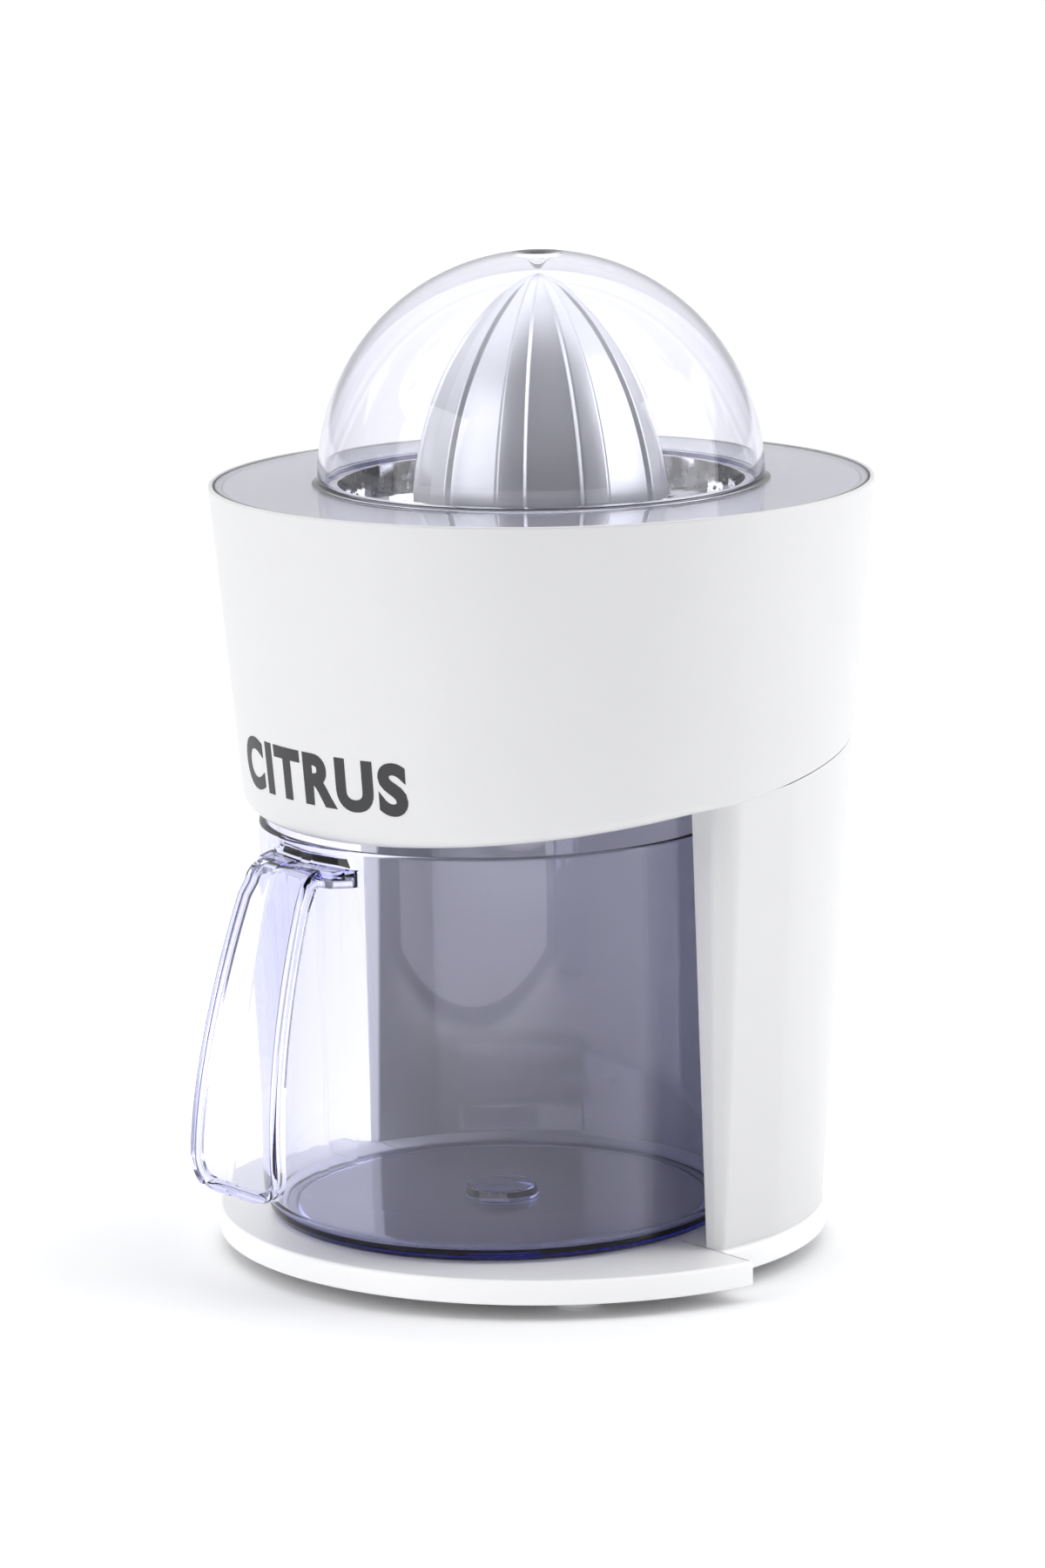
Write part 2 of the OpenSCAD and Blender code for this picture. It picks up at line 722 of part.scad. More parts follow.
// The blade's outline seen from the front, with rounded lower corners.
module blade_outline(inset) {
    r = blade_round - inset;
    foot = handle_foot_z + inset;
    w = blade_width(handle_foot_z + blade_round) - inset;
    top_w = handle_top_w - inset;
    polygon(concat(
        arc(w - r, foot + r, r, 0, -90, 8),
        arc(r - w, foot + r, r, 270, 180, 8),
        [[-top_w, bend_z], [-bridge_w + inset, bridge_z + 1],
         [bridge_w - inset, bridge_z + 1], [top_w, bend_z]]));
}

module blade_slice(depth) {
    rotate([90, 0, 90]) translate([0, 0, -30]) linear_extrude(height = 60) handle_profile(depth);
}

module blade_front(inset) {
    rotate([90, 0, 0]) linear_extrude(height = 2 * far) blade_outline(inset);
}

// The bridge's outline seen from above, wider where it meets the jug.
module bridge_plan(inset) {
    linear_extrude(height = far) polygon([
        [-handle_foot_w + inset - 2, -far], [handle_foot_w - inset + 2, -far],
        [handle_foot_w - inset + 2, -96], [handle_top_w - inset, -88],
        [bridge_w - inset, -75], [bridge_w - inset, -60], [-bridge_w + inset, -60],
        [-bridge_w + inset, -75], [-handle_top_w + inset, -88], [-handle_foot_w + inset - 2, -96]]);
}

module handle() {
    intersection() {
        blade_slice(blade_t);
        blade_front(0);
        bridge_plan(0);
    }
    difference() {
        intersection() {
            blade_slice(rib_depth);
            blade_front(0);
            bridge_plan(0);
        }
        intersection() {
            blade_front(blade_t);
            bridge_plan(blade_t);
        }
    }
}

module jug() color([0.5, 0.5, 0.72, 0.45]) {
    inner_r = jug_r - jug_wall;
    translate([0, -jug_shift, 0]) {
        rotate_extrude(convexity = 4) polygon(concat(
            [[0, jug_z + 0.8], [54, jug_z + 0.8], [55, jug_z]],
            arc(jug_r - 3.5, jug_z + 3, 3, -90, -8, 5),
            [[jug_r, jug_z + 12], [jug_r, jug_rim_z - 1], [jug_r - 0.5, jug_rim_z],
             [inner_r + 0.5, jug_rim_z], [inner_r, jug_rim_z - 1], [inner_r, jug_z + 12],
             [inner_r - 0.6, jug_z + 6], [inner_r - 1.8, jug_z + 4],
             [inner_r - 3.6, jug_z + jug_floor_t + 0.3], [inner_r - 4.2, jug_z + jug_floor_t],
             [0, jug_z + jug_floor_t]]));
        translate([0, 0, jug_z + jug_floor_t - 0.2]) cylinder(r1 = boss_r, r2 = boss_r - 0.8, h = boss_h);
    }
    difference() {
        handle();
        translate([0, -jug_shift, jug_z]) cylinder(r = inner_r + jug_wall / 2, h = jug_rim_z);
    }
}

base_plate();
bottom_cover();
feet();
base_screws();
rear_column();
cord_grommet();
upper_housing();
housing_floor();
inner_cover();
cover_screws();
gear_plate();
plate_screws();
motor_stator();
motor_coil();
motor_bracket();
motor_screws();
gear_axle();
lower_bush();
upper_bush();
spindle_seal();
micro_switch();
switch_lever();
thrust_pad();
return_spring();
drive_spindle();
output_gear();
compound_gear();
motor_rotor();
motor_pinion();
juice_bowl();
strainer();
reamer();
lid_dome();
lid_flange();
jug();
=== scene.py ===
"""Citrus press juicer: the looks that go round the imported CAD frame.

Metres, +Z up. The origin is on the reamer's axis at the table, and the jug's handle points to -Y.
"""
import json
import math

import bmesh
import bpy
from mathutils import Matrix, Vector


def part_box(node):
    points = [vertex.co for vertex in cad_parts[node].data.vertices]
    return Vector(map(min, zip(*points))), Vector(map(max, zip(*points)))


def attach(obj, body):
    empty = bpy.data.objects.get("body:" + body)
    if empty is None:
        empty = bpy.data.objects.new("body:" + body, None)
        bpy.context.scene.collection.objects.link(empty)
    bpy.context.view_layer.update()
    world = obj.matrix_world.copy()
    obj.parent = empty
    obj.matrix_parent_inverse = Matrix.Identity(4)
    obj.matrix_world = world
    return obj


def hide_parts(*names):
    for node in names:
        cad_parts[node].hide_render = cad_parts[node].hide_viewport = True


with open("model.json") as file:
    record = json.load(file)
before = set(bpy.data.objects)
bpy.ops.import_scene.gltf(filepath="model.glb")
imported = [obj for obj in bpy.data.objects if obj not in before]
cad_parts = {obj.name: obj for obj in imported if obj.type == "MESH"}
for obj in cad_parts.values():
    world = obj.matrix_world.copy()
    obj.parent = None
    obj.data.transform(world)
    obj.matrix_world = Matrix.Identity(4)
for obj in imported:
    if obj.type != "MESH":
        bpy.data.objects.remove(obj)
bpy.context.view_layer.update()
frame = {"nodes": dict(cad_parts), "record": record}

# ---------------------------------------------------------------- sizes, from the CAD frame

MM = 0.001
housing_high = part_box("upper_housing")[1]
base_low, base_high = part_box("base_plate")
lid_low, lid_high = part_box("lid_flange")
jug_low, jug_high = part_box("jug")
reamer_low, reamer_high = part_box("reamer")

WALL = 2.6 * MM
RIM_Z = housing_high.z
RIM_R = housing_high.x
# The tilted seam between the housing and the column, as the height of its middle and its rise to the back.
SEAM_Z = 126.9 * MM
SEAM_SLOPE = math.tan(math.radians(7.4))
WAIST_R = 79.5 * MM
SKIRT_SLOPE = 0.072
ROLL_LEAST = 0.5 * MM
ROLL_MORE = 5.5 * MM
LID_SEAT_Z = RIM_Z - 2.4 * MM
LID_SEAT_R = lid_high.x + 0.25 * MM
BOWL_SEAT_Z = LID_SEAT_Z - 1.8 * MM
BOWL_SEAT_R = 82.6 * MM
LEDGE_R = 79.8 * MM
LEDGE_H = 2.6 * MM

BASE_BOTTOM, BASE_TOP = base_low.z, base_high.z
BASE_FRONT_R = base_high.x
BASE_REAR_R = 76.2 * MM
BASE_REAR_Y = -5.2 * MM
BASE_SPLIT_Y = -5.4 * MM

COLUMN_FRONT_Y = -6 * MM
COLUMN_FOOT_R = 75.1 * MM
BAY_FOOT_R = 70.4 * MM
BAY_TOP_R = 66.5 * MM
GROMMET_SEAT_R = 5.4 * MM
COLUMN_LEAN = 4.7

JUG_Y = -17 * MM
JUG_R = jug_high.x
JUG_WALL = 2.2 * MM
JUG_FLOOR = 2.6 * MM
JUG_HOLLOW = 0.8 * MM
BOSS_R = 9 * MM
BOSS_H = 2.8 * MM
JUG_FOOT, JUG_RIM = jug_low.z, jug_high.z
HANDLE_FOOT_Z = 27.3 * MM
HANDLE_TOP_W = 12.4 * MM
HANDLE_FOOT_W = 19 * MM
BRIDGE_W = 19.4 * MM
BRIDGE_Z = 110.8 * MM
BRIDGE_ROOT_Y = -77.4 * MM
BEND_Y = -83.2 * MM
BEND_Z = 104.6 * MM
BEND_R = 6.2 * MM
BLADE_Y = -104.3 * MM
BLADE_LEAN = 16.2 * MM
BLADE_LEAN_Z = 38 * MM
BLADE_LEAN_RISE = 72.5 * MM
BLADE_T = 2.6 * MM
RIB_DEPTH = 4.4 * MM
FOOT_ROUND = 9 * MM
HANDLE_SOFT = 0.9 * MM

DOME_R = 57.9 * MM
DOME_Z = 201.9 * MM
DOME_WALL = 1.8 * MM
FLANGE_R = lid_high.x
FLANGE_LOW = lid_low.z
FLANGE_TOP = RIM_Z - 0.2 * MM
DIMPLE_DEPTH = 3.1 * MM

REAMER_R = 33.4 * MM
RIBS = 9
RIB_HALF_ANGLE = math.radians(6)
RIB_TURN = math.radians(-13.1)
RIB_STEP = 1 * MM
FLAT_HOLLOW = 0.5 * MM
REAMER_WALL = 6.4 * MM
SOCKET_R = 6.8 * MM
SOCKET_HEX_R = 4 * MM

PRINT_WORD = "CITRUS"
PRINT_SIZE = 17.5 * MM
PRINT_SPACING = 1.16
PRINT_BOLDER = 0.8 * MM
PRINT_RELIEF = 0.12 * MM
PRINT_FOOT_Z = 127 * MM
PRINT_START = math.radians(-111.5)
PRINT_SLICES = 70


def housing_radius(z):
    """Outer radius of the white body at height z."""
    if z < SEAM_Z:
        return WAIST_R - SKIRT_SLOPE * (SEAM_Z - z)
    return WAIST_R + (RIM_R - WAIST_R) * (z - SEAM_Z) / (RIM_Z - SEAM_Z)


def seam_height(y):
    return SEAM_Z + SEAM_SLOPE * y


def smooth(t):
    """0 below t = 0, 1 above t = 1, and an even ease between them."""
    t = min(1, max(0, t))
    return t * t * (3 - 2 * t)


# ---------------------------------------------------------------- mesh helpers


def rounded(corners, steps=5):
    """A closed outline from (x, y, radius) corners, each corner rounded by an arc of steps + 1 points."""
    out = []
    count = len(corners)
    for i, (x, y, r) in enumerate(corners):
        here = Vector((x, y))
        before = Vector(corners[i - 1][:2]) - here
        after = Vector(corners[(i + 1) % count][:2]) - here
        room = 0.49 * min(before.length, after.length)
        before.normalize()
        after.normalize()
        half = max(before.angle(after) / 2, 0.02)
        r = min(r, room * math.tan(half))
        if r <= 0 or half > 1.56:
            out += [here.copy() for _ in range(steps + 1)]
            continue
        reach = r / math.tan(half)
        centre = here + (before + after).normalized() * (r / math.sin(half))
        start = here + before * reach - centre
        sweep = start.angle_signed(here + after * reach - centre)
        for k in range(steps + 1):
            turn = Matrix.Rotation(-sweep * k / steps, 2)
            out.append(centre + turn @ start)
    return out


def arc(cx, cy, r, a0, a1, n):
    """Points on an arc, angles in degrees."""
    out = []
    for i in range(n + 1):
        a = math.radians(a0 + (a1 - a0) * i / n)
        out.append((cx + r * math.cos(a), cy + r * math.sin(a)))
    return out


def finish_mesh(name, bm, sharp=35):
    """Turns a bmesh into a linked object with smooth faces and sharp edges above an angle."""
    bmesh.ops.remove_doubles(bm, verts=bm.verts, dist=2e-6)
    bmesh.ops.dissolve_degenerate(bm, edges=bm.edges, dist=1e-6)
    bmesh.ops.recalc_face_normals(bm, faces=bm.faces)
    mesh = bpy.data.meshes.new(name)
    bm.to_mesh(mesh)
    bm.free()
    mesh.shade_smooth()
    mesh.set_sharp_from_angle(angle=math.radians(sharp))
    piece = bpy.data.objects.new(name, mesh)
    bpy.context.scene.collection.objects.link(piece)
    weigh_normals(piece)
    return piece


def weigh_normals(piece):
    """Keeps wide flat faces flat in the shading, next to their narrow rounded edges."""
    step = piece.modifiers.new("weigh_normals", "WEIGHTED_NORMAL")
    step.mode = "FACE_AREA"
    step.weight = 100
    step.keep_sharp = True


def skin(bm, rings, close_rings=True, close_loop=False, caps=False):
    """Quads between rings of points; every ring has the same count."""
    rows = [[bm.verts.new(p) for p in ring] for ring in rings]
    pairs = list(zip(rows, rows[1:]))
    if close_loop:
        pairs.append((rows[-1], rows[0]))
    for a, b in pairs:
        span = len(a) if close_rings else len(a) - 1
        for i in range(span):
            j = (i + 1) % len(a)
            bm.faces.new((a[i], a[j], b[j], b[i]))
    if caps:
        bm.faces.new(rows[0][::-1])
        bm.faces.new(rows[-1])
    return rows


def lathe(name, profile, centre=(0, 0), segments=240, sharp=35):
    """A closed profile of (radius, height) points turned about a vertical axis."""
    bm = bmesh.new()
    rings = []
    for s in range(segments):
        a = 2 * math.pi * s / segments
        rings.append([(centre[0] + r * math.cos(a), centre[1] + r * math.sin(a), z) for r, z in profile])
    skin(bm, rings, close_loop=True)
    return finish_mesh(name, bm, sharp)


def prism(name, outline, levels):
    """An outline swept through (height, inset) levels, closed at the first and the last."""
    count = len(outline)
    normals = []
    for i in range(count):
        along = Vector(outline[(i + 1) % count]) - Vector(outline[i - 1])
        normals.append(Vector((along.y, -along.x)).normalized())
    bm = bmesh.new()
    rings = []
    for z, inset in levels:
        ring = [Vector(p) - n * inset for p, n in zip(outline, normals)]
        rings.append([(p.x, p.y, z) for p in ring])
    skin(bm, rings, caps=True)
    return finish_mesh(name, bm)


# ---------------------------------------------------------------- materials


def new_material(name):
    mat = bpy.data.materials.new(name)
    mat.use_nodes = True
    tree = mat.node_tree
    return mat, tree, tree.nodes["Principled BSDF"]


def node(tree, kind, links=(), **values):
    """Adds a node; values set its inputs by name, with _ for a space, or its own properties."""
    made = tree.nodes.new(kind)
    for key, value in values.items():
        socket = made.inputs.get(key.replace("_", " "))
        if socket is not None:
            socket.default_value = value
        else:
            setattr(made, key, value)
    for socket, source in links:
        tree.links.new(source, made.inputs[socket])
    return made


def noise_of(tree, scale, detail=3, stretch=(1, 1, 1)):
    coords = node(tree, "ShaderNodeTexCoord")
    mapping = node(tree, "ShaderNodeMapping", [("Vector", coords.outputs["Object"])], Scale=stretch)
    return node(tree, "ShaderNodeTexNoise", [("Vector", mapping.outputs["Vector"])],
                Scale=scale, Detail=detail)


def shaded(value, factor):
    return [c * factor for c in value[:3]] + [1]


def surface(name, color, rough, metallic=0.0, mottle=0.03, mottle_scale=40, grain=1500,
            bump=0.02, rough_spread=0.06, stretch=(1, 1, 1), sockets=None):
    """A moulded or machined surface: mottled colour, uneven gloss and a fine grain in its relief."""
    mat, tree, bsdf = new_material(name)
    cloud = noise_of(tree, mottle_scale, stretch=stretch)
    ramp = node(tree, "ShaderNodeValToRGB", [("Fac", cloud.outputs["Fac"])])
    ramp.color_ramp.elements[0].position = 0.35
    ramp.color_ramp.elements[0].color = shaded(color, 1 - mottle)
    ramp.color_ramp.elements[1].position = 0.65
    ramp.color_ramp.elements[1].color = shaded(color, 1)
    tree.links.new(ramp.outputs["Color"], bsdf.inputs["Base Color"])
    fine = noise_of(tree, grain, 2, stretch)
    gloss = node(tree, "ShaderNodeMapRange", [("Value", cloud.outputs["Fac"])],
                 To_Min=rough - rough_spread / 2, To_Max=rough + rough_spread / 2)
    tree.links.new(gloss.outputs["Result"], bsdf.inputs["Roughness"])
    relief = node(tree, "ShaderNodeBump", [("Height", fine.outputs["Fac"])], Strength=bump, Distance=0.0002)
    tree.links.new(relief.outputs["Normal"], bsdf.inputs["Normal"])
    bsdf.inputs["Metallic"].default_value = metallic
    for key, value in (sockets or {}).items():
        bsdf.inputs[key].default_value = value
    return mat


def clear(name, tint, density, rough, ripple=0.01):
    """Clear moulded plastic, tinted by its depth, with the faint waviness of a moulding."""
    mat, tree, bsdf = new_material(name)
    bsdf.inputs["Base Color"].default_value = (1, 1, 1, 1)
    bsdf.inputs["Transmission Weight"].default_value = 1
    bsdf.inputs["IOR"].default_value = 1.42
    wave = noise_of(tree, 25, 1)
    gloss = node(tree, "ShaderNodeMapRange", [("Value", wave.outputs["Fac"])],
                 To_Min=rough * 0.5, To_Max=rough)
    tree.links.new(gloss.outputs["Result"], bsdf.inputs["Roughness"])
    relief = node(tree, "ShaderNodeBump", [("Height", wave.outputs["Fac"])], Strength=ripple, Distance=0.001)
    tree.links.new(relief.outputs["Normal"], bsdf.inputs["Normal"])
    depth = node(tree, "ShaderNodeVolumeAbsorption", Color=(*tint, 1), Density=density)
    tree.links.new(depth.outputs["Volume"], tree.nodes["Material Output"].inputs["Volume"])
    return mat


def make_materials():
    soft_coat = {"Coat Weight": 0.25, "Coat Roughness": 0.12}
    return {
        # white_shell and the base's material are one white plastic at two brightnesses: painted shade darkens
        # the housing and column, painted light brightens the base.
        "white_shell": surface("white_shell", (0.62, 0.62, 0.625), 0.42, mottle=0.012, bump=0.03,
                               sockets=soft_coat),
        "base_plastic_painted_light": surface("base_plastic_painted_light", (0.86, 0.86, 0.865), 0.42, mottle=0.012, bump=0.03,
                                sockets=soft_coat),
        "bowl_plastic": surface("bowl_plastic", (0.8, 0.8, 0.81), 0.3, mottle=0.015, bump=0.02,
                                sockets=soft_coat),
        "reamer_plastic": surface("reamer_plastic", (0.84, 0.85, 0.88), 0.3, metallic=0.4, mottle=0.02,
                                  bump=0.03),
        "foot_rubber": surface("foot_rubber", (0.62, 0.62, 0.64), 0.7, mottle=0.08, grain=2500, bump=0.25),
        "grommet_rubber": surface("grommet_rubber", (0.66, 0.66, 0.67), 0.6, mottle=0.06, grain=2500,
                                  bump=0.2),
        "screw_steel": surface("screw_steel", (0.6, 0.6, 0.62), 0.28, 1, 0.08, 300, bump=0.1),
        "plate_steel": surface("plate_steel", (0.56, 0.58, 0.6), 0.4, 1, 0.18, 120, bump=0.12,
                               rough_spread=0.2),
        "lamination_steel": surface("lamination_steel", (0.25, 0.26, 0.28), 0.45, 1, 0.3, 900, bump=0.5,
                                    stretch=(0.02, 0.02, 1.6)),
        "copper_winding": surface("copper_winding", (0.5, 0.19, 0.07), 0.35, 0.9, 0.35, 700, bump=0.8,
                                  stretch=(0.05, 0.05, 1.5)),
        "shaft_steel": surface("shaft_steel", (0.63, 0.63, 0.65), 0.22, 1, 0.08, 500, bump=0.12,
                               stretch=(0.1, 0.1, 3)),
        "bronze_bush": surface("bronze_bush", (0.5, 0.33, 0.16), 0.5, 1, 0.3, 900, bump=0.3),
        "switch_plastic": surface("switch_plastic", (0.02, 0.02, 0.022), 0.45, mottle=0.2, bump=0.15),
        "gear_plastic": surface("gear_plastic", (0.78, 0.77, 0.7), 0.42, mottle=0.03, bump=0.05),
        "pinion_brass": surface("pinion_brass", (0.72, 0.53, 0.22), 0.28, 1, 0.08, 300, bump=0.1),
        "polished_steel": surface("polished_steel", (0.78, 0.78, 0.8), 0.05, 1, 0.03, 60, bump=0.01,
                                  rough_spread=0.03),
        "lid_clear": clear("lid_clear", (0.08, 0.09, 0.85), 26, 0.015),
        "jug_clear": clear("jug_clear", (0.03, 0.04, 0.95), 40, 0.01),
    }


# ---------------------------------------------------------------- camera, light and floor

CAMERA_AZIMUTH = 51.3
WALL_LIGHT = 0.65
TOP_LIGHT = 2.1
OPENING_LIGHT = 0.06


def aim(azimuth, distance, height, pitch, yaw, roll, lens):
    """The camera at azimuth (0 looks along +Y), turned by yaw, tipped down by pitch and rolled."""
    a = math.radians(azimuth)
    eye = Vector((distance * math.sin(a), -distance * math.cos(a), height))
    heading, down, tip = a + math.radians(yaw), math.radians(pitch), math.radians(roll)
    level = math.cos(down)
    forward = Vector((-math.sin(heading) * level, math.cos(heading) * level, -math.sin(down)))
    right = Vector((math.cos(heading), math.sin(heading), 0))
    up = right.cross(forward)
    across = right * math.cos(tip) + up * math.sin(tip)
    upward = up * math.cos(tip) - right * math.sin(tip)
    data = bpy.data.cameras.new("camera")
    data.sensor_width = 36
    data.lens = lens
    data.clip_start, data.clip_end = 0.05, 60
    camera = bpy.data.objects.new("camera", data)
    bpy.context.scene.collection.objects.link(camera)
    turn = Matrix((across, upward, -forward)).transposed()
    camera.matrix_world = Matrix.Translation(eye) @ turn.to_4x4()
    bpy.context.scene.camera = camera


def softbox(name, spot, target, size, power, mirrored=True):
    """A rectangular lamp that the camera does not see; a mirrored one shows in glossy surfaces."""
    data = bpy.data.lights.new(name, "AREA")
    data.shape = "RECTANGLE"
    data.size, data.size_y = size
    data.energy = power
    light = bpy.data.objects.new(name, data)
    light.location = spot
    light.rotation_mode = "QUATERNION"
    light.rotation_quaternion = (Vector(target) - Vector(spot)).to_track_quat("-Z", "Y")
    light.visible_camera = False
    light.visible_glossy = mirrored
    bpy.context.scene.collection.objects.link(light)


def make_world():
    """White all round, brighter overhead and darker behind the camera, as in a tent with an opening."""
    world = bpy.data.worlds.new("studio")
    world.use_nodes = True
    tree = world.node_tree
    coords = node(tree, "ShaderNodeTexCoord")
    a = math.radians(CAMERA_AZIMUTH)
    raised = 0.35
    behind = (math.sin(a) * math.cos(raised), -math.cos(a) * math.cos(raised), math.sin(raised))
    facing = node(tree, "ShaderNodeVectorMath", [(0, coords.outputs["Generated"])], operation="DOT_PRODUCT")
    facing.inputs[1].default_value = behind
    opening = node(tree, "ShaderNodeMapRange", [("Value", facing.outputs["Value"])],
                   From_Min=0.3, From_Max=0.8, interpolation_type="SMOOTHSTEP")
    height = node(tree, "ShaderNodeSeparateXYZ", [("Vector", coords.outputs["Generated"])])
    overhead = node(tree, "ShaderNodeMapRange", [("Value", height.outputs["Z"])],
                    From_Min=0.1, From_Max=0.95, To_Min=WALL_LIGHT, To_Max=TOP_LIGHT)
    dim = node(tree, "ShaderNodeMapRange", [("Value", opening.outputs["Result"])],
               To_Min=1, To_Max=OPENING_LIGHT)
    strength = node(tree, "ShaderNodeMath", [(0, overhead.outputs["Result"]), (1, dim.outputs["Result"])],
                    operation="MULTIPLY")
    background = tree.nodes["Background"]
    background.inputs["Color"].default_value = (0.985, 0.99, 1, 1)
    tree.links.new(strength.outputs["Value"], background.inputs["Strength"])
    bpy.context.scene.world = world


def beside(turn, distance, height):
    """A place at an angle to the right of the camera's own direction, in degrees."""
    a = math.radians(CAMERA_AZIMUTH - turn)
    return (distance * math.sin(a), -distance * math.cos(a), height)


def make_studio():
    bpy.context.scene.view_settings.view_transform = "Standard"
    make_world()
    middle = (0, 0, 0.13)
    softbox("right_box", beside(-84, 1.3, 0.5), middle, (0.85, 1.1), 8)
    softbox("left_box", beside(62, 1.3, 0.45), middle, (0.85, 1.1), 6)
    softbox("front_card", beside(12, 0.38, 0.045), (0, 0, 0.02), (0.5, 0.08), 0.34, False)
    bm = bmesh.new()
    half = 15
    corners = ((-half, -half, 0), (half, -half, 0), (half, half, 0), (-half, half, 0))
    bm.faces.new([bm.verts.new(p) for p in corners])
    floor = finish_mesh("floor", bm)
    floor.data.materials.append(surface("floor_paper", (0.93, 0.93, 0.935), 0.9, mottle=0.003, mottle_scale=3,
                                        grain=400, bump=0.005, sockets={"Specular IOR Level": 0.1}))


# ---------------------------------------------------------------- pieces


def place(piece, body, slot, replaced, materials, look=None):
    """Gives a piece its body and a material (the slot's, or look), and hides the CAD nodes it stands in for.
    """
    piece.data.materials.clear()
    piece.data.materials.append(materials[look or slot])
    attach(piece, body)
    if replaced:
        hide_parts(*replaced)
    return piece


def make_housing():
    """The upper housing: a widening shell, cut by the tilted seam, with a rolled lower edge in front."""
    segments = 288
    bm = bmesh.new()
    rings = []
    for s in range(segments):
        a = 2 * math.pi * s / segments
        low = SEAM_Z
        for _ in range(4):
            low = seam_height(housing_radius(low) * math.sin(a))
        y = housing_radius(low) * math.sin(a)
        roll = ROLL_LEAST + ROLL_MORE * smooth((-y - 2 * MM) / (16 * MM))
        lip = max(WALL, roll + 0.8 * MM)
        foot_r = housing_radius(low)
        waist = max(SEAM_Z, low + roll + 1 * MM)
        profile = rounded([
            (foot_r, low, roll),
            (housing_radius(waist), waist, 3 * MM),
            (RIM_R, RIM_Z, 0.5 * MM),
            (LID_SEAT_R, RIM_Z, 0.3 * MM),
            (LID_SEAT_R, LID_SEAT_Z, 0.1 * MM),
            (BOWL_SEAT_R, LID_SEAT_Z, 0.3 * MM),
            (BOWL_SEAT_R, BOWL_SEAT_Z, 0.1 * MM),
            (LEDGE_R, BOWL_SEAT_Z, 0.4 * MM),
            (LEDGE_R, BOWL_SEAT_Z - LEDGE_H, 0.3 * MM),
            (housing_radius(BOWL_SEAT_Z - 6 * MM) - WALL, BOWL_SEAT_Z - 6 * MM, 0),
            (housing_radius(low + 9 * MM) - WALL, low + 9 * MM, 0),
            (foot_r - lip, low + 1.3 * MM, 0),
            (foot_r - lip, low, 0.3 * MM)])
        rings.append([(p.x * math.cos(a), p.x * math.sin(a), p.y) for p in profile])
    skin(bm, rings, close_loop=True)
    return finish_mesh("upper_housing_shell", bm, 40)


def column_section(z, inset):
    """The column's outline at height z, moved inwards by inset."""
    rise = (z - BASE_TOP) / (SEAM_Z - BASE_TOP)
    outer_r = COLUMN_FOOT_R + (WAIST_R - COLUMN_FOOT_R) * rise - inset
    outer_y = BASE_REAR_Y * (1 - rise)
    bay_r = BAY_FOOT_R + (BAY_TOP_R - BAY_FOOT_R) * rise + inset
    front_y = COLUMN_FRONT_Y + inset
    outer_a = math.degrees(math.asin((front_y - outer_y) / outer_r))
    bay_a = math.degrees(math.asin((front_y - JUG_Y) / bay_r))
    corner = max(2.2 + 4.8 * rise, 1) * MM
    outer = [(*p, 0) for p in arc(0, outer_y, outer_r, outer_a, 180 - outer_a, 90)]
    bay = [(*p, 0) for p in arc(0, JUG_Y, bay_r, 180 - bay_a, bay_a, 90)]
    outer[0] = (*outer[0][:2], corner)
    outer[-1] = (*outer[-1][:2], corner)
    bay[0] = (*bay[0][:2], 0.9 * MM)
    bay[-1] = (*bay[-1][:2], 0.9 * MM)
    return outer + bay


def rounded_column(z, inset):
    """The outline with its four corners rounded; arcs keep their own points."""
    outline = column_section(z, inset)
    count = len(outline)
    ends = {0, count // 2 - 1, count // 2, count - 1}
    reach = 8
    out = []
    for i in range(count):
        if i in ends:
            x, y, r = outline[i]
            inward = 1 if i in (0, count // 2) else -1
            near = outline[(i + inward * reach) % count]
            across = outline[{0: count - 1, count // 2 - 1: count // 2,
                              count // 2: count // 2 - 1, count - 1: 0}[i]]
            pair = (across, near) if inward == 1 else (near, across)
            out += rounded([(x, y, r), (*pair[1][:2], 0), (*pair[0][:2], 0)])[:6]
        elif min(abs(i - e) for e in ends) >= reach:
            out.append(Vector(outline[i][:2]))
    return out


def column_wall(inset, foot_z, shelf):
    """Rings of the column's wall from foot_z up to the tilted seam, lowered by shelf."""
    table_z = [foot_z + (SEAM_Z + 14 * MM - foot_z) * k / 24 for k in range(25)]
    table = [rounded_column(z, inset) for z in table_z]
    pitch = table_z[1] - table_z[0]

    def at(i, z):
        k = min(max(int((z - foot_z) / pitch), 0), 23)
        return table[k][i].lerp(table[k + 1][i], (z - table_z[k]) / pitch)

    rings = []
    for level in range(21):
        ring = []
        for i in range(len(table[0])):
            top = SEAM_Z
            for _ in range(5):
                top = seam_height(at(i, top).y) - shelf
            z = foot_z + (top - foot_z) * level / 20
            p = at(i, z)
            ring.append((p.x, p.y, z))
        rings.append(ring)
    return rings


def make_column():
    """The column: a hollow arch round the bay, from the base to the tilted seam, with rounded corners."""
    bm = bmesh.new()
    outside = column_wall(0, BASE_TOP, 0.15 * MM)
    inside = column_wall(WALL, BASE_TOP, 0.15 * MM)
    skin(bm, outside + inside[::-1], close_loop=True)
    shell = finish_mesh("rear_column_shell", bm, 40)
    low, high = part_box("cord_grommet")
    reach = 8 * MM
    seat = [(0, -reach), (GROMMET_SEAT_R, -reach), (GROMMET_SEAT_R, reach), (0, reach)]
    cut = lathe("cut", seat, segments=64)
    middle = Matrix.Translation((0, (low.y + high.y) / 2, (low.z + high.z) / 2))
    cut.matrix_world = middle @ Matrix.Rotation(math.radians(-90 - COLUMN_LEAN), 4, "X")
    return boolean(shell, cut, "DIFFERENCE")


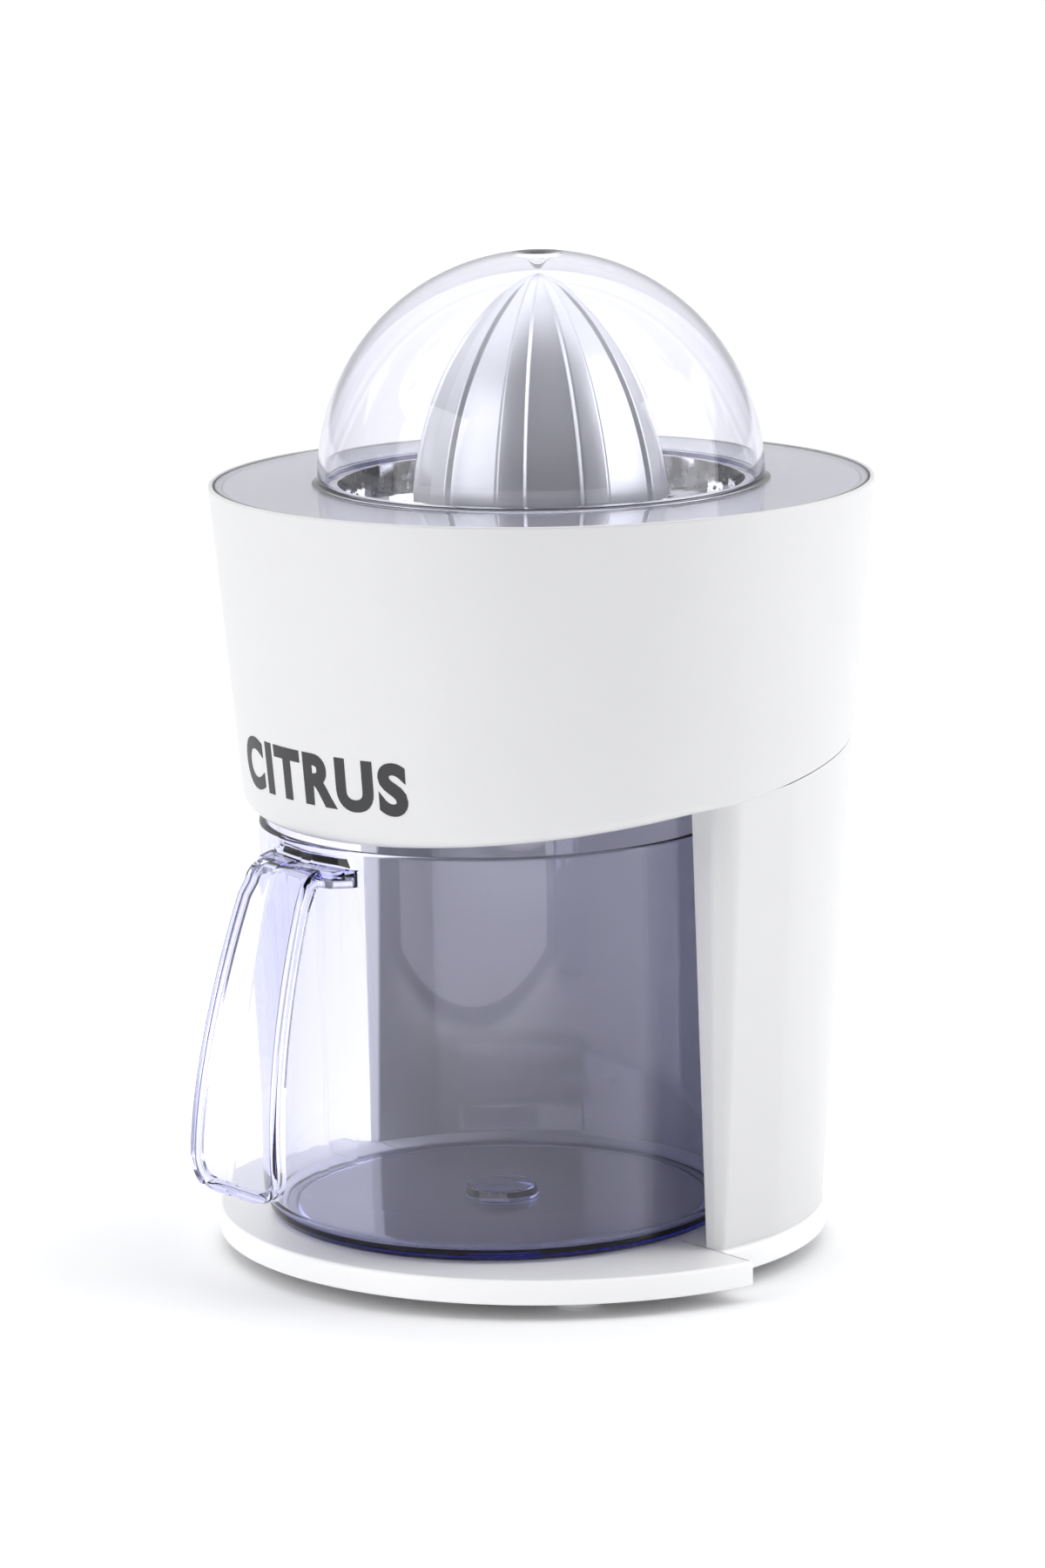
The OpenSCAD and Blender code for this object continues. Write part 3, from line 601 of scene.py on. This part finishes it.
def boolean(piece, other, kind):
    """Joins other to the piece, or cuts it away, and removes other."""
    bpy.context.view_layer.update()
    step = piece.modifiers.new("join", "BOOLEAN")
    step.operation = kind
    step.solver = "EXACT"
    step.object = other
    depsgraph = bpy.context.evaluated_depsgraph_get()
    mesh = bpy.data.meshes.new_from_object(piece.evaluated_get(depsgraph))
    piece.modifiers.clear()
    name = piece.name
    old = piece.data
    piece.data = mesh
    bpy.data.meshes.remove(old)
    bpy.data.objects.remove(other)
    mesh.name = name
    mesh.shade_smooth()
    mesh.set_sharp_from_angle(angle=math.radians(35))
    weigh_normals(piece)
    return piece


def make_base():
    """The base: a shallow tray whose front half is a larger disc than its rear half."""
    split_a = math.degrees(math.asin(BASE_SPLIT_Y / BASE_FRONT_R))
    rear_a = math.degrees(math.asin((BASE_SPLIT_Y - BASE_REAR_Y) / BASE_REAR_R))
    rear = arc(0, BASE_REAR_Y, BASE_REAR_R, rear_a, 180 - rear_a, 110)
    front = arc(0, 0, BASE_FRONT_R, 180 - split_a, 360 + split_a, 140)
    soft = 0.8 * MM
    corners = [(*p, 0) for p in rear + front]
    for i in (0, len(rear) - 1, len(rear), len(corners) - 1):
        corners[i] = (*corners[i][:2], soft)
    outline = []
    for i, corner in enumerate(corners):
        if corner[2]:
            before, after = corners[i - 1], corners[(i + 1) % len(corners)]
            outline += rounded([corner, (*after[:2], 0), (*before[:2], 0)], 4)[:5]
        else:
            outline.append(Vector(corner[:2]))
    edge = 1.1 * MM
    levels = [(BASE_TOP - WALL, WALL), (BASE_BOTTOM + 0.3 * MM, WALL), (BASE_BOTTOM, WALL - 0.3 * MM)]
    levels += rounded_edge(BASE_BOTTOM, 0.7 * MM, 1) + rounded_edge(BASE_TOP, edge, -1)
    return prism("base_shell", outline, levels)


def rounded_edge(z, edge, up):
    """(height, inset) steps round an edge at z: up is 1 at a lower edge and -1 at an upper one."""
    steps = []
    for k in range(6):
        a = math.pi / 2 * k / 5
        steps.append((z + up * edge * (1 - math.cos(a)), edge * (1 - math.sin(a))))
    return steps if up == 1 else steps[::-1]


# ---------------------------------------------------------------- clear lid and jug


def make_lid():
    """The clear lid: a flat flange, a dome and a small dimple on top."""
    top = DOME_Z + DOME_R
    dimple = [(0, top - DIMPLE_DEPTH - DOME_WALL), (0.9 * MM, top - 4.8 * MM), (2.4 * MM, top - 3 * MM),
              (4.2 * MM, top - 1.9 * MM)]
    inner = arc(0, DOME_Z, DOME_R - DOME_WALL, 84.5, 0, 70)
    outer = arc(0, DOME_Z, DOME_R, 3, 84.4, 70)
    mouth = [(4.9 * MM, top - 0.5 * MM), (4.2 * MM, top - 0.6 * MM), (2.4 * MM, top - 1.5 * MM),
             (0.9 * MM, top - 2.9 * MM), (0, top - DIMPLE_DEPTH)]
    foot = rounded([
        (DOME_R - DOME_WALL, FLANGE_LOW, 0.4 * MM),
        (FLANGE_R, FLANGE_LOW, 0.5 * MM),
        (FLANGE_R, FLANGE_TOP, 0.6 * MM),
        (DOME_R + 0.1 * MM, FLANGE_TOP, 2.4 * MM),
        (DOME_R, FLANGE_TOP + 3 * MM, 0),
        (DOME_R - DOME_WALL, FLANGE_TOP + 3 * MM, 0)])
    foot = [p for p in foot if p.y < FLANGE_TOP + 2.9 * MM]
    profile = dimple + inner + [tuple(p) for p in foot] + outer + mouth
    return lathe("clear_lid", profile, segments=256, sharp=50)


def make_jug():
    """The clear jug: a thin wall, a thick floor with a moulding boss, and the handle."""
    inner_r = JUG_R - JUG_WALL
    floor = JUG_FOOT + JUG_FLOOR
    profile = rounded([
        (0, JUG_FOOT + JUG_HOLLOW, 0),
        (53.5 * MM, JUG_FOOT + JUG_HOLLOW, 0.4 * MM),
        (54.5 * MM, JUG_FOOT, 0.5 * MM),
        (JUG_R - 0.4 * MM, JUG_FOOT, 3.6 * MM),
        (JUG_R, JUG_FOOT + 12 * MM, 2 * MM),
        (JUG_R, JUG_RIM, 0.9 * MM),
        (inner_r, JUG_RIM, 0.9 * MM),
        (inner_r, JUG_FOOT + 12 * MM, 2 * MM),
        (inner_r - 0.6 * MM, floor, 3.4 * MM),
        (BOSS_R + 0.6 * MM, floor, 0.3 * MM),
        (BOSS_R, floor + BOSS_H, 0.6 * MM),
        (0, floor + 2.5 * MM, 0)], 6)
    body = lathe("clear_jug", [tuple(p) for p in profile], (0, JUG_Y), 256)
    return boolean(body, make_handle(), "UNION")


def blade_y(z):
    """Depth of the handle's outer face: upright at the foot and leaning to the jug further up."""
    return BLADE_Y + BLADE_LEAN * max(0, (z - BLADE_LEAN_Z) / BLADE_LEAN_RISE) ** 1.7


def handle_path():
    """(y, z, half width) down the outer face, from the jug's wall over the bend to the foot."""
    path = []
    for k in range(15):
        y = BRIDGE_ROOT_Y - 10 * MM * k / 14
        if y > BEND_Y:
            flare = smooth((y + 88 * MM) / (11.5 * MM))
            path.append((y, BRIDGE_Z, HANDLE_TOP_W + (BRIDGE_W - HANDLE_TOP_W) * flare))
    for y, z in arc(BEND_Y, BEND_Z, BEND_R, 90, 166, 10):
        path.append((y, z, HANDLE_TOP_W))
    steps = 59
    blade_top = 104 * MM
    for k in range(1, steps + 1):
        z = blade_top + (HANDLE_FOOT_Z - blade_top) * k / steps
        rise = (z - HANDLE_FOOT_Z) / (BRIDGE_Z - HANDLE_FOOT_Z)
        path.append((blade_y(z), z, HANDLE_FOOT_W + (HANDLE_TOP_W - HANDLE_FOOT_W) * rise))
    return path


def corner_inset(height, radius):
    """How far a rounded lower corner stands in from the side at a height above its lowest point."""
    if height >= radius:
        return 0
    return radius - math.sqrt(max(radius ** 2 - (radius - height) ** 2, 0))


def make_handle():
    """The handle: one strip, ribbed along both edges, that leaves the wall, bends down and ends free."""
    path = handle_path()
    rings = []
    for i, (y, z, width) in enumerate(path):
        before, after = path[max(i - 1, 0)], path[min(i + 1, len(path) - 1)]
        along = Vector((0, after[0] - before[0], after[1] - before[1])).normalized()
        inward = Vector((0, -along.z, along.y))
        from_foot = z - HANDLE_FOOT_Z
        half = width - corner_inset(from_foot, FOOT_ROUND)
        ease = corner_inset(from_foot, HANDLE_SOFT)
        cavity = width - BLADE_T
        depth = RIB_DEPTH - ease - 0.02 * MM
        if from_foot > BLADE_T:
            cavity -= corner_inset(from_foot - BLADE_T, FOOT_ROUND - BLADE_T)
            depth = BLADE_T
        rings.append(handle_section(y, z, inward, half - ease, max(cavity, 0.1 * MM), depth, ease))
    bm = bmesh.new()
    skin(bm, rings, caps=True)
    return finish_mesh("handle", bm)


def handle_section(y, z, inward, half, cavity, depth, ease):
    """A cross-section of the handle, with a fine groove down its outer face; the root follows the jug."""
    cavity = min(cavity, half - 0.8 * MM)
    spine = 2.2 * MM
    step_w, step_h = 0.3 * MM, 0.35 * MM
    outline = rounded([
        (-half, ease, 1.1 * MM),
        (-spine, ease, 0),
        (-spine + step_w, ease + step_h, 0),
        (spine - step_w, ease + step_h, 0),
        (spine, ease, 0),
        (half, ease, 1.1 * MM),
        (half, RIB_DEPTH - ease, 0.8 * MM),
        (cavity, RIB_DEPTH - ease, 0.6 * MM),
        (cavity, depth, 0.6 * MM),
        (-cavity, depth, 0.6 * MM),
        (-cavity, RIB_DEPTH - ease, 0.6 * MM),
        (-half, RIB_DEPTH - ease, 0.8 * MM)], 4)
    ring = []
    for p in outline:
        here = Vector((p.x, y, z)) + inward * p.y
        if here.y > -88 * MM and z > 105 * MM:
            wall_y = JUG_Y - math.sqrt((JUG_R - 1.1 * MM) ** 2 - here.x ** 2)
            nearness = min(1, max(0, (here.y + 88 * MM) / (10.6 * MM)))
            here.y += (wall_y + 77.3 * MM) * nearness
        ring.append(here)
    return ring


# ---------------------------------------------------------------- reamer


def reamer_radius(t):
    return REAMER_R * max(0, 1 - t ** 1.9) ** 0.66


def flute_depth(off, outer):
    """How far the flat beside a rib lies below the rib's crest, at an angle off its middle."""
    reach = min(1, outer / (12 * MM))
    edge = min(1, max(0, (off - RIB_HALF_ANGLE) * outer / (0.9 * MM)))
    step = RIB_STEP * smooth(edge)
    flat = math.pi / RIBS
    chord = max(0, math.cos(RIB_HALF_ANGLE) / math.cos(max(0, off - RIB_HALF_ANGLE)))
    across = (off - RIB_HALF_ANGLE) / (flat - RIB_HALF_ANGLE)
    hollow = FLAT_HOLLOW * edge * (1 - (1 - across) ** 2) * chord
    return (step + hollow) * reach


def make_reamer():
    """The reamer: a pointed dome with nine ribs and slightly hollow flats between them."""
    height = reamer_high.z - reamer_low.z
    segments = RIBS * 48
    rise = [math.sin(math.pi / 2 * k / 72) for k in range(73)]
    bm = bmesh.new()
    rings = []
    for t in rise[:-1]:
        outer = reamer_radius(t)
        ring = []
        for s in range(segments):
            turn = 2 * math.pi * s / segments
            off = abs((turn * RIBS / (2 * math.pi) + 0.5) % 1 - 0.5) * 2 * math.pi / RIBS
            r = outer - flute_depth(off, outer)
            ring.append((r * math.cos(turn + RIB_TURN), r * math.sin(turn + RIB_TURN),
                         reamer_low.z + height * t))
        rings.append(ring)
    inner_h = height - 7 * MM
    inner = []
    for t in rise[:-1:6]:
        r = max(reamer_radius(t) - REAMER_WALL, 7.2 * MM)
        inner.append([(r * math.cos(2 * math.pi * s / segments), r * math.sin(2 * math.pi * s / segments),
                       reamer_low.z + inner_h * t) for s in range(segments)])
    rows = skin(bm, inner[::-1] + rings)
    bm.faces.new(rows[0])
    tip = bm.verts.new((0, 0, reamer_high.z))
    last = rows[-1]
    for i in range(segments):
        bm.faces.new((last[i], last[(i + 1) % segments], tip))
    hexagon_tube(bm, SOCKET_R, SOCKET_HEX_R, reamer_low.z, reamer_low.z + inner_h - 1 * MM)
    return finish_mesh("reamer_cone", bm, 60)


def hexagon_tube(bm, outer_r, hex_r, low, high):
    """A round post with a blind six-sided bore, for the spindle."""
    count = 48

    def circle(r, z):
        return [(r * math.cos(2 * math.pi * i / count), r * math.sin(2 * math.pi * i / count), z)
                for i in range(count)]

    def hexagon(z):
        ring = []
        for i in range(count):
            a = 2 * math.pi * i / count
            side = (a + math.pi / 6) % (math.pi / 3) - math.pi / 6
            r = hex_r * math.cos(math.pi / 6) / math.cos(side)
            ring.append((r * math.cos(a + math.pi / 6), r * math.sin(a + math.pi / 6), z))
        return ring

    rows = skin(bm, [circle(outer_r, high), circle(outer_r, low), hexagon(low), hexagon(high - 6 * MM)])
    bm.faces.new(rows[0][::-1])
    bm.faces.new(rows[-1])


# ---------------------------------------------------------------- printed word


def make_print():
    """A generic word printed at the lower left of the housing, wrapped onto its wall."""
    curve = bpy.data.curves.new("print", "FONT")
    curve.body = PRINT_WORD
    curve.size = PRINT_SIZE
    curve.space_character = PRINT_SPACING
    curve.offset = PRINT_BOLDER
    curve.extrude = PRINT_RELIEF
    curve.resolution_u = 6
    shape = bpy.data.objects.new("print", curve)
    bpy.context.scene.collection.objects.link(shape)
    bpy.context.view_layer.update()
    mesh = bpy.data.meshes.new_from_object(shape.evaluated_get(bpy.context.evaluated_depsgraph_get()))
    bpy.data.objects.remove(shape)
    bm = bmesh.new()
    bm.from_mesh(mesh)
    bpy.data.meshes.remove(mesh)
    width = max(v.co.x for v in bm.verts)
    for k in range(1, PRINT_SLICES):
        parts = list(bm.verts) + list(bm.edges) + list(bm.faces)
        cut_x = width * k / PRINT_SLICES
        bmesh.ops.bisect_plane(bm, geom=parts, plane_co=(cut_x, 0, 0), plane_no=(1, 0, 0))
    for v in bm.verts:
        z = PRINT_FOOT_Z + v.co.y
        r = housing_radius(z) + v.co.z
        a = PRINT_START + v.co.x / housing_radius(PRINT_FOOT_Z)
        v.co = (r * math.cos(a), r * math.sin(a), z)
    return finish_mesh("printed_word", bm)


# ---------------------------------------------------------------- the scene


def keep_cad(materials):
    """Every CAD node that is still shown gets its slot's material."""
    for entry in frame["record"]["subparts"]:
        piece = frame["nodes"][entry["node"]]
        piece.data.materials.clear()
        piece.data.materials.append(materials[entry["material_slot"]])


aim(azimuth=CAMERA_AZIMUTH, distance=1.6, height=0.43077, pitch=10.98, yaw=0.22, roll=-0.96, lens=143.4)
make_studio()
materials = make_materials()
keep_cad(materials)
place(make_housing(), "housing", "white_shell", ["upper_housing"], materials)
place(make_column(), "housing", "white_shell", ["rear_column"], materials)
# The base gets the lighter copy of the white plastic: painted light on the base.
place(make_base(), "housing", "white_shell", ["base_plate"], materials, look="base_plastic_painted_light")
place(make_lid(), "clear_lid", "lid_clear", ["lid_dome", "lid_flange"], materials)
place(make_jug(), "clear_jug", "jug_clear", ["jug"], materials)
place(make_reamer(), "cone", "reamer_plastic", ["reamer"], materials)
place(make_print(), "housing", "switch_plastic", None, materials)
